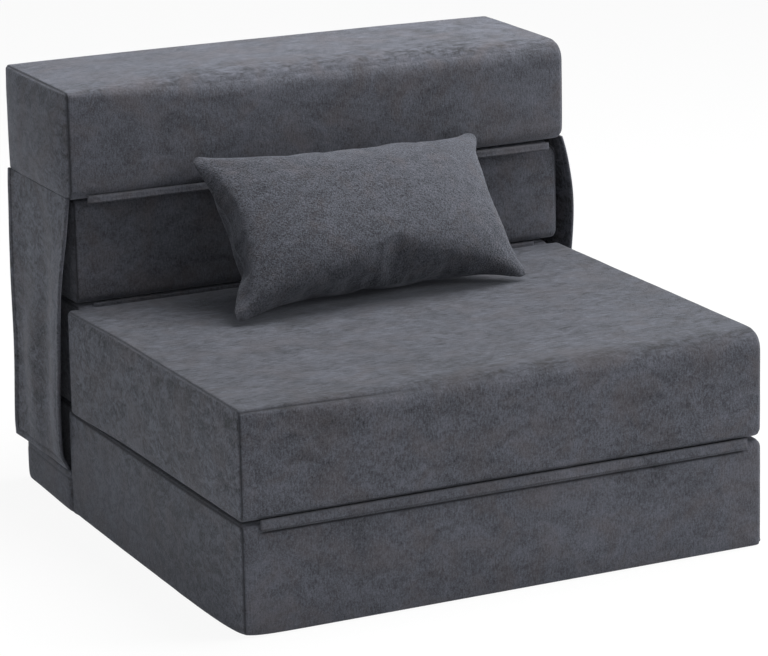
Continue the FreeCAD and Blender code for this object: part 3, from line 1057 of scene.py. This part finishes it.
class MESH_OT_chair_bed_pocket(bpy.types.Operator):
    """Wrap the padded pocket round the foot of the rear block"""

    bl_idname = "mesh.chair_bed_pocket"
    bl_label = "Foot Pocket"

    def execute(self, context):
        low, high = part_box("rear_pocket")
        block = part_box("rear_base_cover")[1]
        piece, share_u, outer_side, share_z = thin_cloth("rear_pocket_cloth", *pocket_cuts)
        front = low.y + 2.0 * mm
        straight = high.y - pocket_corner - front
        bend = pocket_corner * math.pi / 2
        total = 2 * (straight + bend + high.x - pocket_corner)
        up = unevenly(share_z, [0, 0.02, 0.06, 0.14, 0.27, 0.42, 0.58, 0.7, 0.79, pocket_stitch,
                                0.87, 0.92, 0.965, 0.99, 1.0])
        even_map(piece, share_u, up, total, high.z - low.z, 7.0)

        # The path runs along the left side, round the corner and along the rear, and mirrors
        run = share_u * total
        place = np.minimum(run, total - run)
        turn = np.clip((place - straight) / pocket_corner, 0, math.pi / 2)
        ahead = np.minimum(place, straight)
        beyond = np.maximum(place - straight - bend, 0)
        x = pocket_corner - high.x + beyond - pocket_corner * np.cos(turn)
        y = front + ahead + pocket_corner * np.sin(turn)
        to_rear = turn / (math.pi / 2)
        thick = (high.x - block.x) * (1 - to_rear) + (high.y - block.y) * to_rear - pocket_slack

        # Inside that path lie the outer and the inner side of the padded cloth
        bulge = pocket_bulge * (1 - (2 * up - 1) ** 4)
        stitch = hill(up - pocket_stitch, 0.018)
        inward = np.minimum(0.5 * thick, 2.4 * mm) * (rolled(1 - up, 0.06) + rolled(up, 0.1))
        pressed = pocket_bulge - bulge + 0.5 * mm * stitch + 4.0 * mm * hill(place, 7 * mm)
        inward = np.where(outer_side, inward + pressed, thick - inward)
        x = x + inward * np.cos(turn)
        y = y - inward * np.sin(turn)
        x = np.where(run > total / 2, -x, x)
        points = np.stack([x, y, low.z + up * (high.z - low.z)], axis=1)
        waves = rumple(points, 17.0, 2.0)
        to_rear = ramp(y, low.y, high.y)
        points[:, 0] *= 1 - 0.0016 * (0.5 + 0.5 * waves) - 0.013 * to_rear * outer_side
        points[:, 0] *= 1 + 0.005 * (1 - to_rear) * outer_side
        move_points(piece, points)
        # Painted shade along the stitched line
        set_painted_seam_shade(piece, stitch * 0.9)
        smooth(piece)
        edit_all(piece, bpy.ops.mesh.normals_make_consistent, inside=False)
        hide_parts("rear_pocket")
        dress(piece, "cover")
        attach(piece, "base")
        return {"FINISHED"}


# Pillow

pillow_cut = (0.462, 0.285)
pillow_target = (0.440, 0.262)
# The pillow's corners as it lies: lower left, lower right, upper left and upper right
pillow_corners = (Vector((-222, -41, 306)) * mm, Vector((231, -16, 306)) * mm,
                  Vector((-207, 130, 498)) * mm, Vector((226, 130, 483)) * mm)
pillow_cuts = (82, 50)
pillow_corner = 12 * mm
blowing_pressure = 2.4
blowing_frames = 24
rim_half = 1.2 * mm
start_half = 34 * mm
piping_out = 2.2 * mm
end_reach = 75 * mm
foot_reach = 60 * mm


def inflate(piece, pressure, frames):
    """Blow a flat pillow up with the cloth simulation."""
    cloth = piece.modifiers.new("pressure", "CLOTH")
    settings = cloth.settings
    settings.quality = 7
    settings.mass = 0.25
    settings.air_damping = 1.0
    settings.tension_stiffness = 18
    settings.compression_stiffness = 18
    settings.shear_stiffness = 6
    settings.bending_stiffness = 0.35
    settings.use_pressure = True
    settings.uniform_pressure_force = pressure
    settings.effector_weights.gravity = 0
    cloth.collision_settings.use_collision = False
    cloth.collision_settings.use_self_collision = False
    cloth.point_cache.frame_start = 1
    cloth.point_cache.frame_end = frames
    scene = bpy.context.scene
    for step in range(1, frames + 1):
        scene.frame_set(step)
    apply_all(piece)
    scene.frame_set(1)


class MESH_OT_chair_bed_pillow(bpy.types.Operator):
    """Stuff the pillow and lean it on the back"""

    bl_idname = "mesh.chair_bed_pillow"
    bl_label = "Pillow"

    def execute(self, context):
        sizes = context.scene.chair_bed_sizes
        piece, share_x, outer_side, share_z = thin_cloth("pillow_cloth", *pillow_cuts)
        x = (share_x - 0.5) * pillow_cut[0]
        z = (share_z - 0.5) * pillow_cut[1]
        edge_x = np.minimum(share_x, 1 - share_x) * pillow_cut[0]
        edge_z = np.minimum(share_z, 1 - share_z) * pillow_cut[1]
        to_edge = np.minimum(edge_x, edge_z)
        even_map(piece, share_x, share_z, *pillow_cut, 2.0)
        x, z = round_corners(x, z, pillow_cut[0] / 2, pillow_cut[1] / 2, pillow_corner)
        full = 1 - np.exp(-to_edge / (30 * mm))
        half = rim_half + start_half * full * (1 - np.exp(-edge_x / (40 * mm)))
        jitter = 0.8 * mm * rumple(np.stack([x, z, x * 0], axis=1), 40.0, 3.0)
        y = np.where(outer_side, half, -half) + jitter * (to_edge > 2 * mm)
        move_points(piece, np.stack([x, y, z], axis=1))
        # Painted shade along the rim seam
        set_painted_seam_shade(piece, 0.8 * hill(to_edge, 2.5 * mm))
        inflate(piece, blowing_pressure, blowing_frames)
        points = points_of(piece)
        dome = (1 - np.abs(2 * share_x - 1) ** 2.8) * (1 - np.abs(2 * share_z - 1) ** 2.8)
        dome = np.abs(points[:, 1]).max() * np.maximum(dome, 0) ** 0.62
        points[:, 1] = 0.2 * points[:, 1] + 0.8 * np.where(outer_side, dome, -dome)
        points[:, 1] *= np.where(points[:, 1] > 0, 1.25, 0.75)
        rim = hill(to_edge, 1 * mm)
        points[:, 0] += piping_out * rim * np.sign(x) * (edge_x <= edge_z)
        points[:, 2] += piping_out * rim * np.sign(z) * (edge_z <= edge_x)
        waist = ramp(edge_x, 0, end_reach) * (1 - 0.5 * ramp(edge_x, end_reach, pillow_cut[0] / 2))
        points[:, 2] *= 1 - 0.04 * waist
        points[:, 0] *= 1 - 0.024 * ramp(edge_z, 0, foot_reach)
        reach = points.max(axis=0) - points.min(axis=0)
        scale = np.array([pillow_target[0], sizes.pillow_thickness, pillow_target[1]]) / reach
        centre = (points.max(axis=0) + points.min(axis=0)) / 2
        centre[1] = 0
        points = (points - centre) * scale
        move_points(piece, points)
        smooth(piece)
        place_pillow(piece)
        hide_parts("pillow_cover", "pillow_filling")
        dress(piece, "pillow")
        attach(piece, "pillow")
        return {"FINISHED"}


def round_corners(x, z, half_x, half_z, radius):
    """Turn the square corners of a flat rectangle into round ones."""
    past_x = np.maximum(np.abs(x) - half_x + radius, 0)
    past_z = np.maximum(np.abs(z) - half_z + radius, 0)
    square = np.maximum(past_x, past_z)
    shrink = square / np.maximum(np.hypot(past_x, past_z), 1e-9)
    both = (past_x > 0) & (past_z > 0)
    new_x = np.where(both, np.sign(x) * (half_x - radius + past_x * shrink), x)
    new_z = np.where(both, np.sign(z) * (half_z - radius + past_z * shrink), z)
    return new_x, new_z


def place_pillow(piece):
    """Lay the pillow between its four corners, with its thickness square to them."""
    points = points_of(piece)
    lower_left, lower_right, upper_left, upper_right = map(np.array, pillow_corners)
    u = points[:, :1] / pillow_target[0] + 0.5
    v = points[:, 2:] / pillow_target[1] + 0.5
    lower = lower_left * (1 - u) + lower_right * u
    upper = upper_left * (1 - u) + upper_right * u
    flat = lower * (1 - v) + upper * v
    across = (lower_right - lower_left) * (1 - v) + (upper_right - upper_left) * v
    forward = np.cross(across, upper - lower)
    forward = forward / np.linalg.norm(forward, axis=1)[:, None]
    move_points(piece, flat + forward * points[:, 1:2])


# Zips

tooth_pitch = 2.6 * mm
tooth_size = Vector((1.1, 1.3, 3.3)) * mm
tape_thickness = 0.8 * mm


def join_all(pieces, name):
    """Join pieces into one."""
    start_clean()
    for piece in pieces:
        piece.select_set(True)
    bpy.context.view_layer.objects.active = pieces[0]
    bpy.ops.object.join()
    rename(bpy.context.object, name)
    return bpy.context.object


def copy_to(piece, name, shift):
    """A copy of a piece with its own mesh, moved in its mesh."""
    other = piece.copy()
    other.data = piece.data.copy()
    rename(other, name)
    bpy.context.scene.collection.objects.link(other)
    other.data.transform(Matrix.Translation(shift))
    return other


def zip_tapes(length, height, thickness):
    """Two ribbons side by side, with a row of coil teeth over the line between them."""
    half = Vector((length, thickness, height)) / 2
    tape = new_cube("zip_ribbons", -half, half)
    divide(tape, (39, 0, 15))
    points = points_of(tape)
    ridge = 0.5 * mm * hill(np.abs(points[:, 2]) - 3.4 * mm, 0.8 * mm)
    slack = 0.25 * mm * rumple(points, 30.0, 6.0)
    points[:, 1] += (ridge + slack) * (points[:, 1] > 0) - 0.1 * mm
    move_points(tape, points)
    half = tooth_size / 2
    tooth = new_cube("tooth_above", -half, half)
    edit_all(tooth, bpy.ops.mesh.bevel, offset=0.35 * mm, segments=2)
    points = points_of(tooth)
    points[:, 0] += 0.5 * mm * (points[:, 2] / (1.6 * mm))
    points[:, 1] += thickness / 2 + 0.7 * mm
    points[:, 2] += 1.1 * mm
    move_points(tooth, points)
    other = copy_to(tooth, "tooth_below", Vector((tooth_pitch / 2, 0, 0)))
    lower = points_of(other)
    lower[:, 2] *= -1
    move_points(other, lower)
    flip(other)
    pair = join_all([tooth, other], "tooth_pair")
    count = int(length / tooth_pitch) - 2
    row = pair.modifiers.new("row", "ARRAY")
    row.count = count
    row.use_relative_offset = False
    row.use_constant_offset = True
    row.constant_offset_displace = (tooth_pitch, 0, 0)
    apply_all(pair)
    pair.data.transform(Matrix.Translation((-tooth_pitch * (count - 1) / 2, 0, 0)))
    whole = join_all([tape, pair], "zip_master")
    smooth_by_angle(whole, 35)
    return whole


def zip_slider():
    """Slider body with its bridge and a pull tab that hangs down, about the chain's middle."""
    body = new_cube("slider_body", (-5.5 * mm, 0.4 * mm, -4.5 * mm), (5.5 * mm, 2.6 * mm, 4.5 * mm))
    divide(body, (4, 1, 4))
    points = points_of(body)
    points[:, 2] *= 1 - 0.28 * ramp(points[:, 0], -1 * mm, 5.5 * mm)
    points[:, 1] += 0.3 * mm * (1 - (points[:, 2] / (4.5 * mm)) ** 2) * (points[:, 1] > 2 * mm)
    move_points(body, points)
    bevel(body, 0.5 * mm)
    start_clean()
    bpy.ops.mesh.primitive_torus_add(major_radius=2.1 * mm, minor_radius=0.55 * mm,
                                     major_segments=20, minor_segments=8, location=(0, 2.7 * mm, 0))
    bridge = settle()
    tab = new_cube("slider_tab", (-2.1 * mm, 4.1 * mm, -17 * mm), (2.1 * mm, 5.0 * mm, 1.6 * mm))
    divide(tab, (3, 0, 7))
    points = points_of(tab)
    points[:, 0] *= 1 + 0.35 * ramp(-points[:, 2], 6 * mm, 15 * mm)
    points[:, 1] += 0.5 * mm * np.sin((points[:, 2] + 17 * mm) / (18.6 * mm) * math.pi)
    move_points(tab, points)
    pick(tab)
    bpy.ops.object.mode_set(mode="EDIT")
    bpy.ops.mesh.select_mode(type="FACE")
    mesh = bmesh.from_edit_mesh(tab.data)
    mesh.normal_update()
    for face in mesh.faces:
        centre = face.calc_center_median()
        middle = abs(centre.x) < 1.0 * mm and -13 * mm < centre.z < -3 * mm
        face.select_set(abs(face.normal.y) > 0.7 and middle)
    bmesh.update_edit_mesh(tab.data)
    bpy.ops.mesh.inset(thickness=0.3 * mm, depth=-0.25 * mm)
    bpy.ops.object.mode_set(mode="OBJECT")
    bevel(tab, 0.22 * mm)
    whole = join_all([body, bridge, tab], "slider_master")
    smooth_by_angle(whole, 40)
    return whole


class MESH_OT_chair_bed_zips(bpy.types.Operator):
    """Make one zip and one slider, and copy them to every block"""

    bl_idname = "mesh.chair_bed_zips"
    bl_label = "Zips"

    def execute(self, context):
        low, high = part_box("seat_zip")
        master = zip_tapes(high.x - low.x, high.z - low.z, tape_thickness)
        slider = zip_slider()
        for name in block_names:
            low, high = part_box(name + "_zip")
            middle = (low + high) / 2
            place = Vector((0, low.y + tape_thickness / 2, middle.z))
            made = copy_to(master, name + "_zip_tape", place)
            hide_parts(name + "_zip")
            dress(made, "tape")
            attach(made, body_with(name))
            low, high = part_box(name + "_zip_slider")
            centre = (low + high) / 2
            pull = copy_to(slider, name + "_zip_pull", Vector((centre.x, low.y - 0.2 * mm, centre.z)))
            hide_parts(name + "_zip_slider")
            dress(pull, "metal")
            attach(pull, name + "_slider")
        for piece in (master, slider):
            bpy.data.objects.remove(piece)
        return {"FINISHED"}


# Sole

class MESH_OT_chair_bed_sole(bpy.types.Operator):
    """Finish the non-slip sheet underneath"""

    bl_idname = "mesh.chair_bed_sole"
    bl_label = "Sole"

    def execute(self, context):
        dress_node("grip_sheet", "grip")
        for name in block_names:
            dress_node(name + "_foam", "foam")
        dress_node("pillow_filling", "filling")
        return {"FINISHED"}


# Stage

camera_place = Vector((-2.2021, -4.5985, 1.6563))
camera_yaw = math.radians(-25.748)
camera_pitch = math.radians(15.327)
camera_roll = math.radians(-1.197)
camera_focus = 3860.0
sensor = 36.0
floor_show = 0.92


def white_floor():
    """Pale floor that shows near white and keeps a soft shadow."""
    s = Shader("white_floor")
    tone = s.noise("object", (3, 3, 3), 2, 0.5)
    shade = s.mix(tone, (0.80, 0.80, 0.80), (0.84, 0.84, 0.84))
    matt = s.node("ShaderNodeBsdfDiffuse", {}, {"Color": shade})
    glow = s.node("ShaderNodeEmission", {}, {"Color": (1, 1, 1, 1), "Strength": 1.0})
    path = s.node("ShaderNodeLightPath")
    seen = path.value("Is Camera Ray") + path.value("Is Glossy Ray")
    seen = seen + path.value("Is Transmission Ray")
    return s.finish(s.node("ShaderNodeMixShader", {}, {0: seen * floor_show, 1: matt, 2: glow}))


def white_world(strength):
    """Plain pale surroundings, pure white where the camera sees them."""
    s = Shader("studio", "worlds")
    bpy.context.scene.world = s.owner
    path = s.node("ShaderNodeLightPath")
    seen = s.node("ShaderNodeMath", {"operation": "MAXIMUM"}, {
        0: path.value("Is Camera Ray"), 1: path.value("Is Glossy Ray")})
    lit = s.node("ShaderNodeBackground", {}, {"Color": (0.96, 0.98, 1.0, 1), "Strength": strength})
    white = s.node("ShaderNodeBackground", {}, {"Color": (1, 1, 1, 1)})
    shown = s.node("ShaderNodeMixShader", {}, {0: seen, 1: lit, 2: white})
    s.node("ShaderNodeOutputWorld", {}, {"Surface": shown})


def soft_lamp(name, place, target, size, power):
    """Large square lamp aimed at a point."""
    start_clean()
    bpy.ops.object.light_add(type="AREA", location=place)
    lamp = bpy.context.object
    lamp.name = name
    lamp.data.shape = "SQUARE"
    lamp.data.size = size
    lamp.data.energy = power
    lamp.rotation_euler = (Vector(target) - Vector(place)).to_track_quat("-Z", "Y").to_euler()


class OBJECT_OT_chair_bed_stage(bpy.types.Operator):
    """Set the floor, the lamps and the camera"""

    bl_idname = "object.chair_bed_stage"
    bl_label = "Stage"

    def execute(self, context):
        start_clean()
        bpy.ops.mesh.primitive_plane_add(size=60, location=(0, 0, -0.2 * mm))
        floor = bpy.context.object
        floor.name = "floor"
        floor.data.materials.append(white_floor())
        white_world(0.30)
        soft_lamp("overhead", (1.15, -0.15, 2.9), (0.0, 0.0, 0.3), 2.2, 168)
        soft_lamp("right_key", (2.6, -1.9, 1.5), (0.0, 0.0, 0.35), 0.9, 27)
        soft_lamp("front_fill", (-2.6, -4.2, 1.6), (0.0, 0.0, 0.3), 2.4, 22)
        view = bpy.data.cameras.new("camera")
        view.sensor_width = sensor
        view.lens = camera_focus * sensor / photo_width
        view.clip_end = 100
        camera = bpy.data.objects.new("camera", view)
        context.scene.collection.objects.link(camera)
        ahead = Vector((-math.sin(camera_yaw) * math.cos(camera_pitch),
                        math.cos(camera_yaw) * math.cos(camera_pitch), -math.sin(camera_pitch)))
        level_right = Vector((math.cos(camera_yaw), math.sin(camera_yaw), 0))
        level_up = level_right.cross(ahead)
        right = level_right * math.cos(camera_roll) + level_up * math.sin(camera_roll)
        up = level_up * math.cos(camera_roll) - level_right * math.sin(camera_roll)
        turned = Matrix((right, up, -ahead)).transposed()
        camera.matrix_world = Matrix.Translation(camera_place) @ turned.to_4x4()
        context.scene.camera = camera
        context.scene.view_settings.view_transform = "Standard"
        return {"FINISHED"}


# Sidebar

class VIEW3D_PT_chair_bed(bpy.types.Panel):
    """Sizes, colours and steps of the chair bed"""

    bl_label = "Chair Bed"
    bl_space_type = "VIEW_3D"
    bl_region_type = "UI"
    bl_category = "Chair Bed"

    def draw(self, context):
        layout = self.layout
        for group in (context.scene.chair_bed_sizes, context.scene.chair_bed_colours):
            for name in group.__annotations__:
                layout.prop(group, name)
        for step in steps:
            layout.operator(step.bl_idname)


steps = (
    MESH_OT_chair_bed_covers,
    MESH_OT_chair_bed_strips,
    MESH_OT_chair_bed_pocket,
    MESH_OT_chair_bed_flaps,
    MESH_OT_chair_bed_pillow,
    MESH_OT_chair_bed_zips,
    MESH_OT_chair_bed_sole,
    OBJECT_OT_chair_bed_stage,
)
classes = (ChairBedSizes, ChairBedColours, *steps, VIEW3D_PT_chair_bed)


def register():
    for item in classes:
        bpy.utils.register_class(item)
    bpy.types.Scene.chair_bed_sizes = bpy.props.PointerProperty(type=ChairBedSizes)
    bpy.types.Scene.chair_bed_colours = bpy.props.PointerProperty(type=ChairBedColours)


def unregister():
    del bpy.types.Scene.chair_bed_colours
    del bpy.types.Scene.chair_bed_sizes
    for item in reversed(classes):
        bpy.utils.unregister_class(item)


def main():
    """Register the add-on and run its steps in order."""
    register()
    bpy.ops.mesh.chair_bed_covers()
    bpy.ops.mesh.chair_bed_strips()
    bpy.ops.mesh.chair_bed_pocket()
    bpy.ops.mesh.chair_bed_flaps()
    bpy.ops.mesh.chair_bed_pillow()
    bpy.ops.mesh.chair_bed_zips()
    bpy.ops.mesh.chair_bed_sole()
    bpy.ops.object.chair_bed_stage()


if __name__ == "__main__":
    main()
